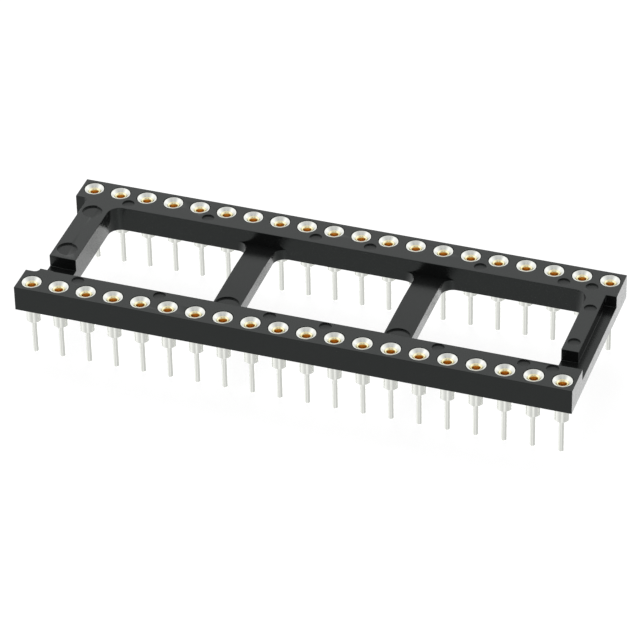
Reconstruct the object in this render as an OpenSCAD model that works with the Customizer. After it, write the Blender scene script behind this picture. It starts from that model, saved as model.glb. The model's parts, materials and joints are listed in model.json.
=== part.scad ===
// Turned-contact DIP socket for a dual in-line chip.
// An open moulded frame carries two rows of turned sleeves, and each sleeve holds
// a spring clip that grips one lead of the chip. The sleeves' tails go into a board.
// Origin: middle of the contact grid on the board's surface, where the sleeves'
// shoulders sit. +X runs along the rows, -Y is the front row, +Z leaves the board.
// Contact 1 is at -X in the front row, beside the notched end. The count goes along
// the front row and comes back along the rear row.

/* [Contact grid] */
// Distance between neighbouring contacts of a row
contact_spacing = 2.54; // [2.3:0.01:2.8]
// Contacts in each row
contacts_per_row = 20; // [8:1:24]
// Distance between the centre lines of the two rows
row_spacing = 15.24; // [12.7:0.01:22.86]

/* [Frame] */
// Height of the frame's rails
rail_h = 2.4; // [2:0.1:3.6]
// Gap between the board and the frame's underside
standoff = 1.6; // [1:0.1:2.5]
// Plastic from a row's centre line to the outer side of its rail
rail_outside = 1.25; // [1.1:0.01:1.6]
// Plastic from a row's centre line to the inner side of its rail
rail_inside = 2.1; // [1.6:0.01:2.5]
// Plastic beyond the last contact's centre at each end of a rail
rail_end = 1.19; // [1.1:0.01:2]
// Windows between the rails
windows = 3; // [1:1:4]
// Width of a cross bar
bar_w = 2.52; // [2.3:0.02:3]
// Height of a cross bar, which is lower than the rails
bar_h = 1.25; // [0.8:0.05:1.8]
// Corner radius of the windows
window_r = 1.15; // [0.3:0.05:1.5]

/* [Frame ends] */
// Depth of the notch between the rail ends at contact 1
notch_depth = 1.17; // [0.8:0.01:2]
// Step that thins the rail ends beside the notch
notch_step = 0.52; // [0.3:0.02:0.8]
// Corner radius of the notch
notch_r = 0.45; // [0.2:0.05:0.5]
// Gap between the front rail and the free end of each end rib
rib_gap = 2.16; // [1.5:0.02:3]
// Width of the rib on the plain end's bar, with a low ledge outside it
plain_rib_w = 1.54; // [1.2:0.02:1.8]

/* [Ejector marks] */
// Depth of the round marks that the ejector pins leave
mark_depth = 0.15; // [0.05:0.05:0.3]
// Diameter of the marks on the rails and on the narrow rib
rail_mark_d = 1.1; // [0.6:0.05:1.2]
// Diameter of the marks on the wide rib
rib_mark_d = 1.85; // [1:0.05:2]
// Diameter of the marks on the low bars
bar_mark_d = 2.25; // [1:0.05:2.25]
// Distance of a rail's marks from its row's centre line
rail_mark_inset = 1.37; // [1.2:0.01:1.5]
// Distance of a mark from the front rail, or from a rib's free end
front_mark_inset = 1.4; // [1.1:0.05:1.8]
// Distance of the wide rib's marks from its notched side
wide_rib_mark_side = 1.17; // [1.05:0.01:1.3]
// Distance of the wide rib's rear mark from the rear rail
wide_rib_mark_inset = 1.35; // [1:0.01:2.5]
// Distance of the narrow rib's rear mark from the rear rail
narrow_rib_mark_inset = 2.31; // [1:0.01:2.5]

/* [Sleeve] */
// Diameter of the sleeve's head
head_d = 1.78; // [1.7:0.02:1.9]
// Height of the head, which fills its counterbore
head_h = 0.5; // [0.3:0.05:0.8]
// Bevel on the head's upper edge
head_bevel = 0.05; // [0.02:0.01:0.1]
// Gap between the head and its counterbore
head_gap = 0.05; // [0.03:0.01:0.1]
// Diameter of the funnel's mouth
mouth_d = 1.52; // [1.2:0.02:1.56]
// Depth of the funnel
mouth_depth = 0.38; // [0.3:0.02:0.5]
// Diameter of the bore that holds the clip
bore_d = 0.8; // [0.74:0.01:0.9]
// Solid floor between the bore and the shoulder
floor_h = 0.7; // [0.5:0.05:0.9]
// Diameter of the barrel
barrel_d = 1.32; // [1.25:0.01:1.4]
// Diameter of the barb that grips the frame
barb_d = 1.5; // [1.45:0.01:1.6]
// Height of the barb's full diameter below the head
barb_h = 0.6; // [0.3:0.05:0.9]
// Height of the barb's lead-in below it
barb_lead = 0.4; // [0.2:0.05:0.6]
// Bevel on the shoulder that sits on the board
shoulder_bevel = 0.12; // [0.05:0.01:0.15]
// Diameter of the solder tail
tail_d = 0.46; // [0.4:0.01:0.6]
// Length of the solder tail
tail_len = 3.56; // [2.5:0.02:4]
// Width of the bevel at the tail's tip
tip_bevel = 0.12; // [0.05:0.01:0.18]
// Length of the bevel at the tail's tip
tip_len = 0.2; // [0.1:0.05:0.4]

/* [Clip] */
// Radial clearance of the pressed fits, barb in frame and clip in sleeve
press_gap = 0.01; // [0.005:0.005:0.02]
// Thickness of the clip's sheet
clip_wall = 0.05; // [0.04:0.01:0.07]
// Height of the clip's flared lip, which lies in the funnel
lip_h = 0.18; // [0.1:0.02:0.26]
// Height of the clip's collar, which fills the bore
collar_h = 0.2; // [0.15:0.05:0.6]
// Length over which the clip's fingers close to the throat
finger_len = 0.5; // [0.4:0.05:0.8]
// Length of the fingers' toes, which open again below the throat
toe_len = 0.7; // [0.4:0.05:0.9]
// Spring fingers of a clip
fingers = 4; // [3:1:6]
// Diameter of the throat, where the fingers grip the lead
throat_d = 0.4; // [0.36:0.01:0.5]
// Diameter between the tips of the toes
toe_d = 0.56; // [0.5:0.02:0.62]
// Width of the slits between the fingers
slit_w = 0.12; // [0.08:0.01:0.16]

/* [Hidden] */
$fn = 48;
// Cutting shapes run this far past the faces that they cut
over = 1;

contact_count = 2 * contacts_per_row;
row_y = row_spacing / 2;
row_len = (contacts_per_row - 1) * contact_spacing;
frame_l = row_len + 2 * rail_end;
frame_w = row_spacing + 2 * rail_outside;
frame_x = frame_l / 2;
inner_y = row_y - rail_inside;
sleeve_top = standoff + rail_h;

bar_count = windows + 1;
window_l = (frame_l - notch_depth - bar_count * bar_w) / windows;
bar_step = window_l + bar_w;
first_bar_x = -frame_x + notch_depth;
plain_bar_x = frame_x - bar_w;
corner_r = min(window_r, window_l / 2, inner_y);
notch_corner_r = min(notch_r, notch_step, notch_depth);
rib_front_y = -inner_y + rib_gap;

head_z = sleeve_top - head_h;
hole_r = barb_d / 2 + press_gap;
counterbore_r = head_d / 2 + head_gap;
funnel_slope = (mouth_d - bore_d) / 2 / mouth_depth;

// Marks lie this many contact spacings to each side of the middle, and one more is next to the
// plain end's last contact
mark_steps = [1, 5, 8];
last_mark_step = contacts_per_row / 2 - 1;

INSULATOR = "insulator";
FRONT_CLIPS = "clips_front_row";
REAR_CLIPS = "clips_rear_row";

function sleeve_name(n) = str("sleeve_", n < 10 ? "0" : "", n);

// Left edge of a cross bar, counted from the notched end
function bar_x(i) = first_bar_x + i * bar_step;

// Place of contact n on the grid
function in_front(n) = n <= contacts_per_row;
function column(n) = in_front(n) ? n - 1 : contact_count - n;
function contact_x(n) = column(n) * contact_spacing - row_len / 2;
function contact_y(n) = in_front(n) ? -row_y : row_y;

// Rectangle between two corners
module span(low, high) {
    translate(low)
        square(high - low);
}

// Rectangle between two corners, with round corners
module round_span(low, high, r) {
    span(low + [r, 0], high - [r, 0]);
    span(low + [0, r], high - [0, r]);
    for (x = [low.x + r, high.x - r], y = [low.y + r, high.y - r])
        translate([x, y])
            circle(r);
}

// Frame seen from above: rails, cross bars, windows and the notch
module frame_outline() {
    difference() {
        span([-frame_x, -frame_w / 2], [frame_x, frame_w / 2]);
        for (i = [0:windows - 1])
            round_span(
                [bar_x(i) + bar_w, -inner_y],
                [bar_x(i + 1), inner_y],
                corner_r
            );
        round_span(
            [-frame_x - notch_depth, -inner_y - notch_step],
            [first_bar_x, inner_y + notch_step],
            notch_corner_r
        );
    }
}

// Parts of the frame between the rails that stay as low as the bars
module low_areas() {
    if (windows > 1)
        for (i = [1:windows - 1])
            span(
                [bar_x(i) - corner_r, -inner_y],
                [bar_x(i) + bar_w + corner_r, inner_y]
            );
    span([-frame_x - over, -inner_y], [first_bar_x + bar_w + corner_r, rib_front_y]);
    span([plain_bar_x - corner_r, -inner_y], [frame_x + over, rib_front_y]);
    span([plain_bar_x + plain_rib_w, -inner_y], [frame_x + over, inner_y]);
}

// Round recess that an ejector pin leaves in a face at height z
module mark(x, y, z, d) {
    translate([x, y, z - mark_depth])
        cylinder(d = d, h = mark_depth + over);
}

module ejector_marks() {
    steps = [
        for (s = mark_steps, side = [-1, 1])
            if (s < last_mark_step) side * s,
        last_mark_step,
    ];
    for (s = steps, side = [-1, 1])
        mark(s * contact_spacing, side * (row_y - rail_mark_inset), rail_h, rail_mark_d);

    wide_rib_x = first_bar_x + wide_rib_mark_side;
    mark(wide_rib_x, rib_front_y + front_mark_inset, rail_h, rib_mark_d);
    mark(wide_rib_x, inner_y - wide_rib_mark_inset, rail_h, rib_mark_d);

    narrow_rib_x = plain_bar_x + plain_rib_w / 2;
    mark(narrow_rib_x, rib_front_y + front_mark_inset, rail_h, rail_mark_d);
    mark(narrow_rib_x, inner_y - narrow_rib_mark_inset, rail_h, rail_mark_d);

    if (windows > 1)
        for (i = [1:windows - 1])
            mark(bar_x(i) + bar_w / 2, -inner_y + front_mark_inset, bar_h, bar_mark_d);
}

// Hole for one sleeve, with the counterbore that takes its head
module sleeve_hole() {
    translate([0, 0, -over])
        cylinder(r = hole_r, h = rail_h + 2 * over);
    translate([0, 0, rail_h - head_h])
        cylinder(r = counterbore_r, h = head_h + over);
}

// Moulded frame: two rails, low cross bars, and an upright rib at each end
module insulator() {
    color("#2e3033")
        translate([0, 0, standoff])
            difference() {
                linear_extrude(rail_h)
                    frame_outline();
                translate([0, 0, bar_h])
                    linear_extrude(rail_h)
                        low_areas();
                ejector_marks();
                for (n = [1:contact_count])
                    translate([contact_x(n), contact_y(n), 0])
                        sleeve_hole();
            }
}

// Turned sleeve: funnel head, barbed barrel, drilled bore and solder tail
module sleeve(n) {
    barb_z = head_z - barb_h;
    color("#d9dcd3")
        translate([contact_x(n), contact_y(n), 0])
            rotate_extrude()
                polygon([
                    [0, -tail_len],
                    [tail_d / 2 - tip_bevel, -tail_len],
                    [tail_d / 2, -tail_len + tip_len],
                    [tail_d / 2, 0],
                    [barrel_d / 2 - shoulder_bevel, 0],
                    [barrel_d / 2, shoulder_bevel],
                    [barrel_d / 2, barb_z - barb_lead],
                    [barb_d / 2, barb_z],
                    [barb_d / 2, head_z],
                    [head_d / 2, head_z],
                    [head_d / 2, sleeve_top - head_bevel],
                    [head_d / 2 - head_bevel, sleeve_top],
                    [mouth_d / 2, sleeve_top],
                    [bore_d / 2, sleeve_top - mouth_depth],
                    [bore_d / 2, floor_h],
                    [0, floor_h],
                ]);
}

// Spring clip: a lip in the funnel, a collar in the bore, fingers that close to a throat, and toes
module clip() {
    collar_r = bore_d / 2 - press_gap;
    lip_r = collar_r + lip_h * funnel_slope;
    throat_r = throat_d / 2;
    throat_z = -collar_h - finger_len;
    toe_r = toe_d / 2;
    toe_z = throat_z - toe_len;
    difference() {
        rotate_extrude()
            polygon([
                [collar_r - clip_wall, 0],
                [lip_r - clip_wall, lip_h],
                [lip_r, lip_h],
                [collar_r, 0],
                [collar_r, -collar_h],
                [throat_r + clip_wall, throat_z],
                [toe_r + clip_wall, toe_z],
                [toe_r, toe_z],
                [throat_r, throat_z],
                [collar_r - clip_wall, -collar_h],
            ]);
        for (i = [0:fingers - 1])
            rotate(i * 360 / fingers)
                translate([0, -slit_w / 2, toe_z - over])
                    cube([bore_d, slit_w, over + toe_len + finger_len]);
    }
}

// Clips of the contacts from first to last
module clip_row(first, last) {
    color("#c9962f")
        for (n = [first:last])
            translate([contact_x(n), contact_y(n), sleeve_top - mouth_depth])
                clip();
}

insulator();
for (n = [1:contact_count])
    sleeve(n);
clip_row(1, contacts_per_row);
clip_row(contacts_per_row + 1, contact_count);
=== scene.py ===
"""Dual-in-line socket with turned contacts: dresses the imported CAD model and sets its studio.

Laid out as a Blender add-on and run as a script. Lengths are in metres, in the CAD model's frame.
"""

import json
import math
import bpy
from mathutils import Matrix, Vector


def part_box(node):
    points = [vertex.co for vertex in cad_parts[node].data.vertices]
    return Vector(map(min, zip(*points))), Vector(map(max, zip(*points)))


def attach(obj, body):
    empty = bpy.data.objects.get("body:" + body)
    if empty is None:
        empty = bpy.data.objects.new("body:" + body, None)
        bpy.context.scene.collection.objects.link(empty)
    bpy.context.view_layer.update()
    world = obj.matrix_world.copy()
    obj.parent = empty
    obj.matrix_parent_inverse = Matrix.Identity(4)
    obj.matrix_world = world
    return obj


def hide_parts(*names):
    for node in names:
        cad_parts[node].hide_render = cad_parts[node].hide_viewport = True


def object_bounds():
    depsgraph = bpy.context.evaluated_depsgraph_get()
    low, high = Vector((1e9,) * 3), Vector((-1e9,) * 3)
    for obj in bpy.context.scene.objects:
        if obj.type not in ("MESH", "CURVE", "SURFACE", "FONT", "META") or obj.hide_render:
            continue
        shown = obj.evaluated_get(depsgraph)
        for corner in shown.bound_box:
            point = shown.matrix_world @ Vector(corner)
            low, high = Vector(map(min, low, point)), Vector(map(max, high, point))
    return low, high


bl_info = {
    "name": "Turned-Contact DIP Socket",
    "version": (1, 0, 0),
    "blender": (4, 5, 0),
    "location": "3D View > Sidebar > DIP Socket",
    "description": "Moulded frame, turned sleeves, spring clips and a studio for a dual-in-line socket",
    "category": "Object",
}

import bpy
from bpy.props import FloatProperty, FloatVectorProperty, IntProperty, PointerProperty
from mathutils import Quaternion, Vector

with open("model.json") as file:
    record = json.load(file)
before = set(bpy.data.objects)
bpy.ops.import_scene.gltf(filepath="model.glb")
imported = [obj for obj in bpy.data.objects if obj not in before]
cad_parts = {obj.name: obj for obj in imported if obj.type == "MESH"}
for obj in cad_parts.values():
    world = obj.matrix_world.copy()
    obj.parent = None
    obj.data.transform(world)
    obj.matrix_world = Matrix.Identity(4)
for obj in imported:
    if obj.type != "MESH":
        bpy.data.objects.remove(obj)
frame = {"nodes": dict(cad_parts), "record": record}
CAD_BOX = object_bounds()

MM = 0.001
BODY = "root"

# Tolerances: vertices that are one, places that match, faces that lie flat or level, faces that shade as one
MERGE = 0.03 * MM
SLACK = 0.02 * MM
FLAT = math.radians(1)
LEVEL = 0.9
SMOOTH = math.radians(50)

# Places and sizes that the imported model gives
MOUNTS = {mount["name"]: mount for mount in frame["record"]["mounts"]}
NUMBERS = sorted(name.split("_")[1] for name in MOUNTS if name.startswith("contact_"))
FIRST_CONTACT = Vector(MOUNTS["contact_01"]["pos_m"])
CONTACT_SPACING = MOUNTS["contact_02"]["pos_m"][0] - FIRST_CONTACT.x
ROW_Y = abs(FIRST_CONTACT.y)
BOARD_Z = MOUNTS["board_seat"]["pos_m"][2]
SLEEVE_LOW, SLEEVE_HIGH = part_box("sleeve_01")
HEAD_RADIUS = (SLEEVE_HIGH.x - SLEEVE_LOW.x) / 2
CLIPS_LOW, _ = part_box("clips_front_row")
COLLAR_INSIDE = MOUNTS["contact_01"]["dims"]["r_mm"] * MM

# Where the lamps stand, and how wide they are
KEY_PLACE = Vector((-0.12, 0.22, 0.36))
FILL_PLACE = Vector((-0.3, -0.3, 0.25))
LAMP_WIDTH = 0.3

# Heights of a direction between which the studio's low ring turns into its sky, and the sky into its zenith
RING_TO_SKY = (-0.3, 0.1)
SKY_TO_ZENITH = (0.75, 0.95)

# Studio's brightness low round the object, by degrees to the right of the lens as the object sees it
STUDIO_RING = [
    (-180, 2.2),
    (-155, 1.7),
    (-135, 1.3),
    (-116, 1.35),
    (-93, 1.6),
    (-58, 1.2),
    (-28, 1.0),
    (-14, 1.18),
    (0, 1.6),
    (14, 1.15),
    (40, 0.89),
    (84, 1.0),
    (104, 0.9),
    (128, 0.9),
    (146, 2.7),
    (180, 2.2),
]

# Studio's brightness above the horizon, counted in the same way
STUDIO_SKY = [
    (-180, 1.6),
    (-125, 1.45),
    (-96, 1.8),
    (-60, 1.1),
    (-34, 0.6),
    (-12, 0.95),
    (12, 0.95),
    (34, 0.5),
    (60, 0.95),
    (121, 1.7),
    (150, 1.45),
    (180, 1.6),
]


def length(name, description, default):
    """A size that a user may change, in metres."""
    return FloatProperty(
        name=name, description=description, default=default, min=0.0, precision=6, unit="LENGTH"
    )


def colour(name, description, default):
    """A colour that a user may change, in linear light."""
    return FloatVectorProperty(
        name=name, description=description, default=default, min=0.0, max=1.0, subtype="COLOR"
    )


def amount(name, description, default):
    """A plain number that a user may change."""
    return FloatProperty(name=name, description=description, default=default)


def angle(name, description, degrees):
    """An angle that a user may change."""
    return FloatProperty(
        name=name, description=description, default=math.radians(degrees), subtype="ANGLE"
    )


class FrameSettings(bpy.types.PropertyGroup):
    """Shape and finish of the moulded frame."""

    edge: length("Edge", "Radius that the mould leaves on the frame's edges", 0.035 * MM)
    inner_side: length("Inner side", "Distance of the rails' inner sides from the middle", 5.52 * MM)
    core_reach: length("Core reach", "How far from the middle the core's shift is felt", 5.66 * MM)
    core_end: length("Core end", "Distance of the core's end at the notch from the middle", 22.86 * MM)
    core_shift: length("Core shift", "How far the mould's core lies towards the front row", 0.09 * MM)
    rib_front: length("Rib front", "Distance of the ribs' front ends from the middle", 3.36 * MM)
    bar_top: length("Bar top", "Height of the bars' tops over the board", 2.85 * MM)
    mark_depth: length("Mark depth", "Depth of the ejector pins' marks", 0.15 * MM)
    bar_reach: length("Bar reach", "How far from the middle the middle bars reach", 12 * MM)
    bar_fall: angle("Bar fall", "How much the middle bars' tops fall towards the rear rail", 2.7)
    fall_start: length("Fall start", "How far behind the middle the bars start to fall", 1.5 * MM)
    dark: colour("Dark", "Plastic between the clouds of filler", (0.007, 0.0075, 0.0075))
    light: colour("Light", "Plastic where the filler comes to the skin", (0.013, 0.0135, 0.0135))
    cloud: length("Cloud", "Size of the patches that differ in tone", 0.9 * MM)
    grain: length("Grain", "Size of the skin's grain", 0.05 * MM)
    relief: length("Relief", "Depth of the skin's grain", 0.004 * MM)
    roughness: amount("Roughness", "Roughness of the skin", 0.22)
    gloss: amount("Gloss", "Refractive index of the skin", 1.40)
    low_gloss: amount("Low gloss", "Refractive index of the skin on bars and in marks", 1.33)


class SleeveSettings(bpy.types.PropertyGroup):
    """Sizes and finish of a turned sleeve."""

    sides: IntProperty(name="Sides", description="Sides of a turned circle", default=48, min=12)
    edge: length("Edge", "Radius on the turned edges", 0.012 * MM)
    head_height: length("Head height", "Height of the head", 0.5 * MM)
    head_bevel: length("Head bevel", "Bevel on the head's outer edge", 0.04 * MM)
    mouth_radius: length("Mouth radius", "Radius of the funnel at the top", 0.82 * MM)
    mouth_depth: length("Mouth depth", "Depth of the funnel", 0.38 * MM)
    bore_radius: length("Bore radius", "Radius of the drilled bore", 0.4 * MM)
    floor_height: length("Floor height", "Metal left under the bore, above the board", 0.7 * MM)
    barrel_radius: length("Barrel radius", "Radius of the barrel", 0.69 * MM)
    barb_radius: length("Barb radius", "Radius of the barb that grips the frame", 0.75 * MM)
    barb_height: length("Barb height", "Straight height of the barb", 0.6 * MM)
    barb_lead: length("Barb lead", "Height of the barb's cone", 0.4 * MM)
    shoulder_bevel: length("Shoulder bevel", "Bevel on the shoulder's edge", 0.05 * MM)
    tail_radius: length("Tail radius", "Radius of the tail with its plate", 0.255 * MM)
    tip_bevel: length("Tip bevel", "How much narrower the tail's tip is", 0.12 * MM)
    tip_length: length("Tip length", "Length of the tail's tapered tip", 0.2 * MM)
    tin: colour("Tin", "Colour of the tin plate", (0.80, 0.81, 0.77))
    shade: colour("Shade", "Colour of duller patches of tin", (0.70, 0.71, 0.67))
    feed: length("Feed", "Distance between the lathe's grooves", 0.035 * MM)
    grain: length("Grain", "Size of the tin's crystals", 0.04 * MM)
    patch: length("Patch", "Size of the duller patches", 0.48 * MM)
    relief: length("Relief", "Depth of grooves and crystals", 0.002 * MM)
    roughness: amount("Roughness", "Roughness of the plate", 0.15)


class ClipSettings(bpy.types.PropertyGroup):
    """Sizes and finish of a spring clip."""

    sides: IntProperty(name="Sides", description="Sides of the rolled collar", default=48, min=16)
    fingers: IntProperty(name="Fingers", description="Spring fingers of a clip", default=4, min=2)
    slit_sides: IntProperty(name="Slit", description="Sides taken out for a slit", default=1, min=1)
    edge: length("Edge", "Radius on the sheet's edges", 0.012 * MM)
    wall: length("Wall", "Thickness of the sheet", 0.05 * MM)
    seat_depth: length("Seat depth", "Depth of the collar's top below the sleeve's rim", 0.38 * MM)
    lip_height: length("Lip height", "Height of the flared lip in the funnel", 0.13 * MM)
    lip_radius: length("Lip radius", "Radius of the lip at its top", 0.52 * MM)
    collar_height: length("Collar height", "Height of the plain collar", 0.02 * MM)
    throat_drop: length("Throat drop", "Depth of the throat below the collar's top", 0.31 * MM)
    throat_radius: length("Throat radius", "Radius where the fingers grip", 0.2 * MM)
    toe_radius: length("Toe radius", "Radius between the tips of the toes", 0.28 * MM)
    turn: angle("Turn", "How far the slits are turned from the rows' direction", 26.0)
    # Painted light and shade in the gold: the fingers' gold is deeper and darker than the plate is, as
    # painted shade down the bore, and the lip's paler gold is painted light.
    gold: colour("Gold", "Colour of the gold plate on the fingers", (0.72, 0.435, 0.12))
    lit_gold: colour("Pale", "Colour of the thinner gold on the lip", (0.90, 0.85, 0.57))
    grain: length("Grain", "Size of the plate's grain", 0.03 * MM)
    patch: length("Patch", "Size of the patches that differ in tone", 0.24 * MM)
    relief: length("Relief", "Depth of the plate's grain", 0.001 * MM)
    roughness: amount("Roughness", "Roughness of the plate on the lip", 0.13)
    dullness: amount("Dullness", "How much rougher the fingers are", 0.17)


class StageSettings(bpy.types.PropertyGroup):
    """Camera, lamps and floor."""

    aim: FloatVectorProperty(
        name="Aim",
        description="Point in the middle of the picture",
        default=(1.806 * MM, -5.493 * MM, 4.0 * MM),
        precision=6,
        subtype="XYZ",
        unit="LENGTH",
    )
    azimuth: angle("Azimuth", "Camera's turn from the front towards the plain end", 19.196)
    elevation: angle("Elevation", "Camera's height over the horizon", 35.946)
    roll: angle("Roll", "Camera's roll to the left", -1.07)
    distance: length("Distance", "Camera's distance from the aim", 348.57 * MM)
    lens: amount("Lens", "Focal length in millimetres", 227.263)
    floor_width: length("Floor width", "Side of the floor", 3.0)
    floor_colour: colour("Floor", "Colour of the floor", (0.3, 0.3, 0.3))
    floor_glow: amount("Floor glow", "Light that makes the floor white", 0.86)
    ambient: amount("Ambient", "Light from all sides", 0.6)
    zenith: amount("Zenith", "Studio's brightness straight above", 1.02)
    key_power: amount("Key", "Power of the lamp above and behind, in watts", 0.7)
    fill_power: amount("Fill", "Power of the lamp at the front, in watts", 0.15)


class Value:
    """An output of a shader node. Arithmetic on it adds Math nodes."""

    def __init__(self, paint, socket):
        self.paint = paint
        self.socket = socket

    def math(self, operation, *others):
        return self.paint.math(operation, self, *others)

    def __add__(self, other):
        return self.math("ADD", other)

    def __mul__(self, other):
        return self.math("MULTIPLY", other)

    def __sub__(self, other):
        return self.math("SUBTRACT", other)

    def __rsub__(self, other):
        return self.paint.math("SUBTRACT", other, self)

    __radd__ = __add__
    __rmul__ = __mul__


class Paint:
    """The node tree of a material or a world."""

    def __init__(self, owner):
        owner.use_nodes = True
        self.tree = owner.node_tree
        self.tree.nodes.clear()

    def node(self, kind, settings=None, sockets=None, output=0):
        """Adds a node with its settings, then its socket values or links, and gives one output."""
        made = self.tree.nodes.new(kind)
        for name, setting in (settings or {}).items():
            if name == "stops":
                self.set_stops(made.color_ramp.elements, setting)
            else:
                setattr(made, name, setting)
        for name, value in (sockets or {}).items():
            if isinstance(value, Value):
                self.tree.links.new(value.socket, made.inputs[name])
            else:
                made.inputs[name].default_value = value
        return Value(self, made.outputs[output]) if len(made.outputs) else None

    def set_stops(self, elements, stops):
        """Gives a ramp its greys: (position, brightness) pairs."""
        for position, _ in stops[len(elements):]:
            elements.new(position)
        for element, (position, grey) in zip(elements, stops):
            element.position = position
            element.color = (grey, grey, grey, 1.0)

    def math(self, operation, *values):
        return self.node("ShaderNodeMath", {"operation": operation}, dict(enumerate(values)))

    def dot(self, vector, other):
        """How far a vector reaches along another."""
        return self.node("ShaderNodeVectorMath", {"operation": "DOT_PRODUCT"}, {0: vector, 1: other}, "Value")

    def place(self):
        """Object coordinates."""
        return self.node("ShaderNodeTexCoord", output="Object")

    def noise(self, place, size, detail=3.0):
        """Clouds of about the given size, from 0 to 1."""
        sockets = {"Vector": place, "Scale": 1 / size, "Detail": detail}
        return self.node("ShaderNodeTexNoise", {}, sockets, "Fac")

    def ramp(self, value, low, high):
        """0 below low, 1 above high, and a straight run between."""
        sockets = {"Value": value, "From Min": low, "From Max": high}
        return self.node("ShaderNodeMapRange", {"clamp": True}, sockets)

    def blend(self, first, second, share):
        """A mix of two colours."""
        factor, one, two, result = 0, 6, 7, 2
        sockets = {factor: share, one: (*first, 1.0), two: (*second, 1.0)}
        return self.node("ShaderNodeMix", {"data_type": "RGBA"}, sockets, result)

    def bump(self, height, depth):
        """A normal from a height between 0 and 1, for a relief of the given depth."""
        return self.node("ShaderNodeBump", {}, {"Height": height, "Distance": depth}, "Normal")

    def along(self, vector, axis):
        """One coordinate of a vector."""
        return self.node("ShaderNodeSeparateXYZ", {}, {"Vector": vector}, axis)

    def surface(self, sockets):
        shader = self.node("ShaderNodeBsdfPrincipled", {}, sockets, "BSDF")
        self.finish("ShaderNodeOutputMaterial", shader)

    def finish(self, kind, shader):
        self.node(kind, {}, {"Surface": shader})


def moulded_plastic(settings, name, gloss):
    """Black filled plastic: clouded tone, fine grain, semi-matt skin."""
    material = bpy.data.materials.new(name)
    paint = Paint(material)
    place = paint.place()
    cloud = paint.noise(place, settings.cloud)
    grain = paint.noise(place, settings.grain)
    paint.surface(
        {
            "Base Color": paint.blend(settings.dark, settings.light, 0.6 * cloud + 0.4 * grain),
            "Roughness": settings.roughness - 0.06 + 0.08 * cloud + 0.04 * grain,
            "Normal": paint.bump(grain, settings.relief),
            "IOR": gloss,
            "Specular Tint": (0.92, 1.0, 0.97, 1.0),
        }
    )
    return material


def axis_distance(paint, place):
    """Distance from the axis of the nearest contact."""
    x = paint.along(place, "X") - (FIRST_CONTACT.x - CONTACT_SPACING / 2)
    across = paint.math("WRAP", x, CONTACT_SPACING, 0.0) - CONTACT_SPACING / 2
    along = paint.along(place, "Y").math("ABSOLUTE") - ROW_Y
    return (across * across + along * along).math("SQRT")


def turned_tin(settings):
    """Tin plate over turned brass: lathe grooves, crystals and duller patches."""
    material = bpy.data.materials.new("turned_tin")
    paint = Paint(material)
    place = paint.place()
    travel = axis_distance(paint, place) + paint.along(place, "Z")
    groove = 0.5 + 0.5 * (travel * (math.tau / settings.feed)).math("SINE")
    crystal = paint.noise(place, settings.grain)
    patch = paint.noise(place, settings.patch)
    paint.surface(
        {
            "Base Color": paint.blend(settings.shade, settings.tin, 0.7 * patch + 0.3 * crystal),
            "Metallic": 1.0,
            "Roughness": settings.roughness - 0.05 + 0.1 * patch,
            "Normal": paint.bump(0.5 * groove + 0.5 * crystal, settings.relief),
        }
    )
    return material


def gold_plate(settings):
    """Gold plate on stamped sheet, with painted light and shade: a paler gold on the lip as painted light,
    and a deeper, darker gold down the fingers as painted shade in the bore.
    """
    material = bpy.data.materials.new("gold_plate")
    paint = Paint(material)
    place = paint.place()
    grain = paint.noise(place, settings.grain)
    patch = paint.noise(place, settings.patch)
    # Mask of the lip by height: it lightens the gold there as painted light, and leaves the fingers below
    # darker and rougher.
    lip_foot = SLEEVE_HIGH.z - settings.seat_depth
    lip = paint.ramp(paint.along(place, "Z"), lip_foot - 0.8 * settings.wall, lip_foot + 0.2 * settings.wall)
    paint.surface(
        {
            # Painted light and shade: paler gold on the lip, darker and deeper gold down the fingers, with
            # random patches.
            "Base Color": paint.blend(settings.gold, settings.lit_gold, 0.9 * lip + 0.3 * (patch - 0.5)),
            "Metallic": 1.0,
            "Roughness": settings.roughness + settings.dullness * (1 - lip) + 0.1 * (patch - 0.5),
            "Normal": paint.bump(grain, settings.relief),
        }
    )
    return material


def pick(piece):
    """Selects one object alone and makes it the active one."""
    bpy.ops.object.select_all(action="DESELECT")
    piece.select_set(True)
    bpy.context.view_layer.objects.active = piece


def choose(piece, wanted):
    """Selects the vertices of a piece whose places pass a test, and leaves it in edit mode."""
    bpy.ops.object.mode_set(mode="EDIT")
    bpy.ops.mesh.select_mode(type="VERT")
    bpy.ops.mesh.select_all(action="DESELECT")
    bpy.ops.object.mode_set(mode="OBJECT")
    for vertex in piece.data.vertices:
        vertex.select = wanted(vertex.co)
    bpy.ops.object.mode_set(mode="EDIT")


def apply_modifier(piece, name, kind, **settings):
    """Adds a modifier to a piece and applies it."""
    pick(piece)
    modifier = piece.modifiers.new(name, kind)
    for key, value in settings.items():
        setattr(modifier, key, value)
    bpy.ops.object.modifier_apply(modifier=name)


def round_edges(piece, radius, steps, sharper_than):
    """Rounds the edges of a piece that are sharper than an angle, and smooths its round faces."""
    apply_modifier(
        piece,
        "Rounded edges",
        "BEVEL",
        width=radius,
        segments=steps,
        limit_method="ANGLE",
        angle_limit=sharper_than,
        use_clamp_overlap=False,
        loop_slide=False,
    )
    pick(piece)
    bpy.ops.object.shade_smooth_by_angle(angle=SMOOTH)
    apply_modifier(piece, "Even shading", "WEIGHTED_NORMAL", keep_sharp=True)


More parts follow.
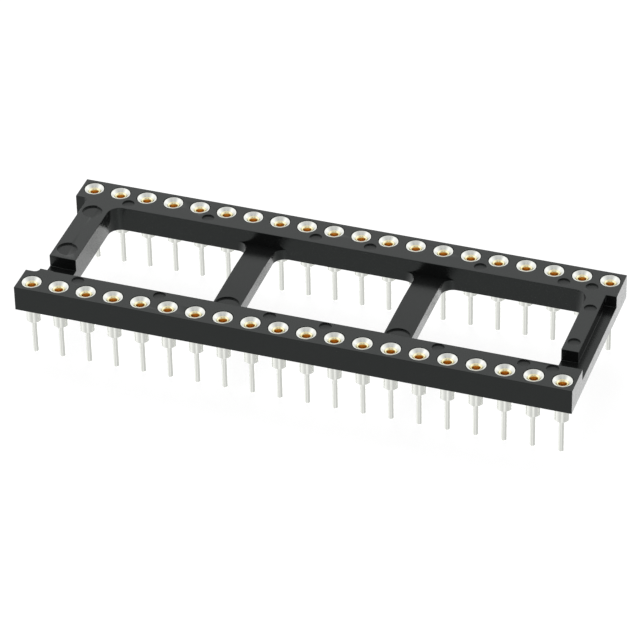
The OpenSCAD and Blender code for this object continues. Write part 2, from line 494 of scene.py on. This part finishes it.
def draw_rings(name, stations, sides):
    """A circle at the first station, drawn out ring by ring through the rest: (radius, height) pairs."""
    bpy.ops.object.select_all(action="DESELECT")
    radius, height = stations[0]
    bpy.ops.mesh.primitive_circle_add(vertices=sides, radius=radius, location=(0, 0, height))
    piece = bpy.context.active_object
    piece.name = name
    bpy.ops.object.mode_set(mode="EDIT")
    bpy.ops.mesh.select_all(action="SELECT")
    for next_radius, next_height in stations[1:]:
        rise = (0, 0, next_height - height)
        bpy.ops.mesh.extrude_edges_move(TRANSFORM_OT_translate={"value": rise})
        growth = next_radius / radius
        bpy.ops.transform.resize(value=(growth, growth, 1), center_override=(0, 0, next_height))
        radius, height = next_radius, next_height
    bpy.ops.object.mode_set(mode="OBJECT")
    bpy.ops.object.transform_apply(location=True)
    return piece


def copy_at(master, name, place, turn=0.0):
    """A copy of a piece with its own mesh, turned on its axis and moved to its place."""
    pick(master)
    bpy.ops.object.duplicate(linked=False)
    piece = bpy.context.active_object
    piece.name = name
    bpy.ops.transform.rotate(value=turn, orient_axis="Z", center_override=(0, 0, 0))
    bpy.ops.transform.translate(value=place)
    bpy.ops.object.transform_apply(location=True, rotation=True)
    return piece


def contact_place(number):
    """Where a contact's axis meets the board."""
    x, y, _ = MOUNTS["contact_" + number]["pos_m"]
    return Vector((x, y, BOARD_Z))


class SOCKET_OT_frame(bpy.types.Operator):
    """Moulded frame: the CAD shape with the edges that a mould leaves"""

    bl_idname = "dip_socket.frame"
    bl_label = "Moulded Frame"

    def shifts(self, place, s):
        """Whether a place moves with the core: inside the rails, but not the notch or one rib's front."""
        beyond_end = place.x < -s.core_end - SLACK
        rib_end = place.x > s.bar_reach and abs(place.y + s.rib_front) < SLACK
        return abs(place.y) < s.inner_side + SLACK and not beyond_end and not rib_end

    def falls(self, place, s):
        """Whether a place is on the falling stretch of a middle bar's top."""
        on_top = abs(place.z - s.bar_top) < SLACK
        return on_top and abs(place.x) < s.bar_reach and place.y > s.fall_start

    def set_core(self, piece, s):
        """Moves what the mould's core shapes, and lets the middle bars fall towards the rear rail."""
        cuts = [((0, y, 0), (0, 1, 0)) for y in (s.fall_start, s.core_reach, -s.core_reach)]
        cuts.append(((-s.core_end, 0, 0), (1, 0, 0)))
        for place, normal in cuts:
            bpy.ops.mesh.select_all(action="SELECT")
            bpy.ops.mesh.bisect(plane_co=place, plane_no=normal)
        choose(piece, lambda place: self.shifts(place, s))
        bpy.ops.transform.translate(value=(0, -s.core_shift, 0))
        choose(piece, lambda place: self.falls(place, s))
        hinge = (0, s.fall_start, s.bar_top)
        bpy.ops.transform.rotate(value=s.bar_fall, orient_axis="X", center_override=hinge)

    def execute(self, context):
        settings = context.scene.socket_frame
        piece = bpy.data.objects.new("moulded_frame", frame["nodes"]["insulator"].data.copy())
        context.scene.collection.objects.link(piece)
        pick(piece)
        bpy.ops.object.mode_set(mode="EDIT")
        bpy.ops.mesh.select_all(action="SELECT")
        bpy.ops.mesh.customdata_custom_splitnormals_clear()
        bpy.ops.mesh.remove_doubles(threshold=MERGE)
        bpy.ops.mesh.dissolve_limited(angle_limit=FLAT)
        self.set_core(piece, settings)
        bpy.ops.object.mode_set(mode="OBJECT")
        round_edges(piece, settings.edge, steps=3, sharper_than=math.radians(35))
        piece.data.materials.clear()
        piece.data.materials.append(moulded_plastic(settings, "moulded_plastic", settings.gloss))
        piece.data.materials.append(moulded_plastic(settings, "core_plastic", settings.low_gloss))
        for face in piece.data.polygons:
            low = face.normal.z > LEVEL and face.center.z < CAD_BOX[1].z - settings.mark_depth / 2
            face.material_index = 1 if low else 0
        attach(piece, BODY)
        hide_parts("insulator")
        return {"FINISHED"}


class SOCKET_OT_sleeves(bpy.types.Operator):
    """Turned sleeves: funnel head, barbed barrel, bore and solder tail, one for each contact"""

    bl_idname = "dip_socket.sleeves"
    bl_label = "Turned Sleeves"

    def stations(self, s):
        """The sleeve's outline from the bore's floor over the rim to the tail's tip."""
        top = SLEEVE_HIGH.z - BOARD_Z
        tip = SLEEVE_LOW.z - BOARD_Z
        head_under = top - s.head_height
        barb_under = head_under - s.barb_height
        return [
            (s.bore_radius, s.floor_height),
            (s.bore_radius, top - s.mouth_depth),
            (s.mouth_radius, top),
            (HEAD_RADIUS - s.head_bevel, top),
            (HEAD_RADIUS, top - s.head_bevel),
            (HEAD_RADIUS, head_under),
            (s.barb_radius, head_under),
            (s.barb_radius, barb_under),
            (s.barrel_radius, barb_under - s.barb_lead),
            (s.barrel_radius, s.shoulder_bevel),
            (s.barrel_radius - s.shoulder_bevel, 0.0),
            (s.tail_radius, 0.0),
            (s.tail_radius, tip + s.tip_length),
            (s.tail_radius - s.tip_bevel, tip),
        ]

    def execute(self, context):
        settings = context.scene.socket_sleeves
        master = draw_rings("sleeve_master", self.stations(settings), settings.sides)
        bpy.ops.object.mode_set(mode="EDIT")
        bpy.ops.mesh.select_all(action="SELECT")
        bpy.ops.mesh.fill_holes(sides=0)
        bpy.ops.mesh.select_all(action="SELECT")
        bpy.ops.mesh.normals_make_consistent(inside=False)
        bpy.ops.object.mode_set(mode="OBJECT")
        round_edges(master, settings.edge, steps=2, sharper_than=math.radians(20))
        master.data.materials.append(turned_tin(settings))
        for number in NUMBERS:
            piece = copy_at(master, "turned_sleeve_" + number, contact_place(number))
            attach(piece, BODY)
            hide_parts("sleeve_" + number)
        bpy.data.objects.remove(master)
        return {"FINISHED"}


class SOCKET_OT_clips(bpy.types.Operator):
    """Spring clips: a rolled collar and fingers that close to a throat, one inside each sleeve"""

    bl_idname = "dip_socket.clips"
    bl_label = "Spring Clips"

    def cut_slits(self, piece, settings, below):
        """Takes the slits' faces out of the sheet below a height."""
        step = math.tau / settings.fingers
        half_slit = math.pi * settings.slit_sides / settings.sides
        for face in piece.data.polygons:
            turn = math.atan2(face.center.y, face.center.x) % step
            face.select = face.center.z < below and min(turn, step - turn) < half_slit
        outward = sum(face.normal.xy.dot(face.center.xy) for face in piece.data.polygons) > 0
        bpy.ops.object.mode_set(mode="EDIT")
        bpy.ops.mesh.select_mode(type="FACE")
        bpy.ops.mesh.delete(type="FACE")
        if not outward:
            bpy.ops.mesh.select_all(action="SELECT")
            bpy.ops.mesh.flip_normals()
        bpy.ops.mesh.select_mode(type="VERT")
        bpy.ops.object.mode_set(mode="OBJECT")

    def execute(self, context):
        settings = context.scene.socket_clips
        tip = CLIPS_LOW.z - BOARD_Z
        collar_top = SLEEVE_HIGH.z - settings.seat_depth - BOARD_Z
        collar_under = collar_top - settings.collar_height
        collar_radius = COLLAR_INSIDE + settings.wall
        stations = [
            (settings.lip_radius, collar_top + settings.lip_height),
            (collar_radius, collar_top),
            (collar_radius, collar_under),
            (settings.throat_radius + settings.wall, collar_top - settings.throat_drop),
            (settings.toe_radius + settings.wall, tip),
        ]
        master = draw_rings("clip_master", stations, settings.sides)
        self.cut_slits(master, settings, collar_under)
        apply_modifier(master, "Sheet", "SOLIDIFY", thickness=settings.wall, offset=-1.0)
        round_edges(master, settings.edge, steps=1, sharper_than=math.radians(50))
        master.data.materials.append(gold_plate(settings))
        for number in NUMBERS:
            place = contact_place(number)
            piece = copy_at(master, "spring_clip_" + number, place, settings.turn)
            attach(piece, BODY)
            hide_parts("clips_front_row" if place.y < 0 else "clips_rear_row")
        bpy.data.objects.remove(master)
        return {"FINISHED"}


def seen(paint):
    """Two masks: where the camera looks, and where a reflection or a see-through ray looks."""
    camera, glossy, through = (
        paint.node("ShaderNodeLightPath", output=name)
        for name in ("Is Camera Ray", "Is Glossy Ray", "Is Transmission Ray")
    )
    return camera, glossy.math("MAXIMUM", through)


def floor_paint(settings):
    """Pale floor that takes the object's shadow; reflections look past it into the studio."""
    material = bpy.data.materials.new("pale_floor")
    paint = Paint(material)
    camera, mirrored = seen(paint)
    diffuse = paint.node("ShaderNodeBsdfDiffuse", {}, {"Color": (*settings.floor_colour, 1.0)})
    glow = paint.node("ShaderNodeEmission", {}, {"Strength": settings.floor_glow})
    bright = paint.node("ShaderNodeAddShader", {}, {0: diffuse, 1: glow})
    paper = paint.node("ShaderNodeMixShader", {}, {0: camera, 1: diffuse, 2: bright})
    clear = paint.node("ShaderNodeBsdfTransparent")
    shader = paint.node("ShaderNodeMixShader", {}, {0: mirrored, 1: paper, 2: clear})
    paint.finish("ShaderNodeOutputMaterial", shader)
    return material


def panels(paint, turn, levels):
    """The studio's brightness by the share of a full turn, from pairs of degrees and brightness."""
    brightest = max(level for _, level in levels)
    stops = [(degrees / 360 + 0.5, level / brightest) for degrees, level in levels]
    return brightest * paint.node("ShaderNodeValToRGB", {"stops": stops}, {"Fac": turn})


def studio_world(settings):
    """Soft light from all sides; reflections see the studio's panels and the dark round the lens."""
    world = bpy.data.worlds.new("studio")
    paint = Paint(world)
    camera, mirrored = seen(paint)
    direction = paint.node("ShaderNodeTexCoord", output="Generated")
    lens = view_back(settings)
    ahead = paint.dot(direction, (lens.x, lens.y, 0.0))
    aside = paint.dot(direction, (-lens.y, lens.x, 0.0))
    turn = paint.math("ARCTAN2", aside, ahead) * (1 / math.tau) + 0.5
    height = paint.along(direction, "Z")
    above = paint.ramp(height, *RING_TO_SKY)
    overhead = paint.ramp(height, *SKY_TO_ZENITH)
    sky = (1 - overhead) * panels(paint, turn, STUDIO_SKY) + overhead * settings.zenith
    studio = (1 - above) * panels(paint, turn, STUDIO_RING) + above * sky
    spread = (1 - camera) * (1 - mirrored) * settings.ambient
    light = paint.node("ShaderNodeBackground", {}, {"Strength": camera + mirrored * studio + spread})
    paint.finish("ShaderNodeOutputWorld", light)
    return world


def view_back(settings):
    """Direction from the aim to the camera."""
    level = math.cos(settings.elevation)
    across, along = math.sin(settings.azimuth), -math.cos(settings.azimuth)
    return Vector((across * level, along * level, math.sin(settings.elevation)))


def add_lamp(name, place, aim, size, power):
    """A square lamp that faces a point."""
    turn = (aim - place).to_track_quat("-Z", "Y").to_euler()
    bpy.ops.object.light_add(type="AREA", location=place, rotation=turn)
    lamp = bpy.context.active_object
    lamp.name = name
    lamp.data.size = size
    lamp.data.energy = power
    lamp.visible_glossy = False


class SOCKET_OT_stage(bpy.types.Operator):
    """Floor, lamps, world and camera"""

    bl_idname = "dip_socket.stage"
    bl_label = "Studio"

    def execute(self, context):
        scene = context.scene
        settings = scene.socket_stage
        low = CAD_BOX[0]
        bpy.ops.object.select_all(action="DESELECT")
        bpy.ops.mesh.primitive_plane_add(size=settings.floor_width, location=(0, 0, low.z))
        floor = context.active_object
        floor.name = "floor"
        floor.data.materials.append(floor_paint(settings))

        middle = Vector((0, 0, 0))
        add_lamp("key_lamp", KEY_PLACE, middle, LAMP_WIDTH, settings.key_power)
        add_lamp("fill_lamp", FILL_PLACE, middle, LAMP_WIDTH, settings.fill_power)
        scene.world = studio_world(settings)
        scene.view_settings.view_transform = "Standard"

        back = view_back(settings)
        turn = (-back).to_track_quat("-Z", "Y") @ Quaternion((0, 0, 1), settings.roll)
        place = Vector(settings.aim) + settings.distance * back
        bpy.ops.object.camera_add(location=place, rotation=turn.to_euler())
        camera = context.active_object
        camera.data.lens = settings.lens
        scene.camera = camera
        return {"FINISHED"}


class SOCKET_PT_panel(bpy.types.Panel):
    """The steps that dress the socket, and their sizes"""

    bl_idname = "SOCKET_PT_panel"
    bl_label = "DIP Socket"
    bl_space_type = "VIEW_3D"
    bl_region_type = "UI"
    bl_category = "DIP Socket"

    def draw(self, context):
        for operator, settings in STEPS:
            box = self.layout.box()
            box.operator(operator.bl_idname)
            group = getattr(context.scene, settings)
            for name in group.bl_rna.properties.keys():
                if name in type(group).__annotations__:
                    box.prop(group, name)


STEPS = [
    (SOCKET_OT_frame, "socket_frame"),
    (SOCKET_OT_sleeves, "socket_sleeves"),
    (SOCKET_OT_clips, "socket_clips"),
    (SOCKET_OT_stage, "socket_stage"),
]
GROUPS = {
    "socket_frame": FrameSettings,
    "socket_sleeves": SleeveSettings,
    "socket_clips": ClipSettings,
    "socket_stage": StageSettings,
}
CLASSES = [*GROUPS.values(), *(operator for operator, _ in STEPS), SOCKET_PT_panel]


def register():
    for made in CLASSES:
        bpy.utils.register_class(made)
    for name, group in GROUPS.items():
        setattr(bpy.types.Scene, name, PointerProperty(type=group))


def unregister():
    for name in GROUPS:
        delattr(bpy.types.Scene, name)
    for made in reversed(CLASSES):
        bpy.utils.unregister_class(made)


def main():
    register()
    bpy.ops.dip_socket.frame()
    bpy.ops.dip_socket.sleeves()
    bpy.ops.dip_socket.clips()
    bpy.ops.dip_socket.stage()


if __name__ == "__main__":
    main()
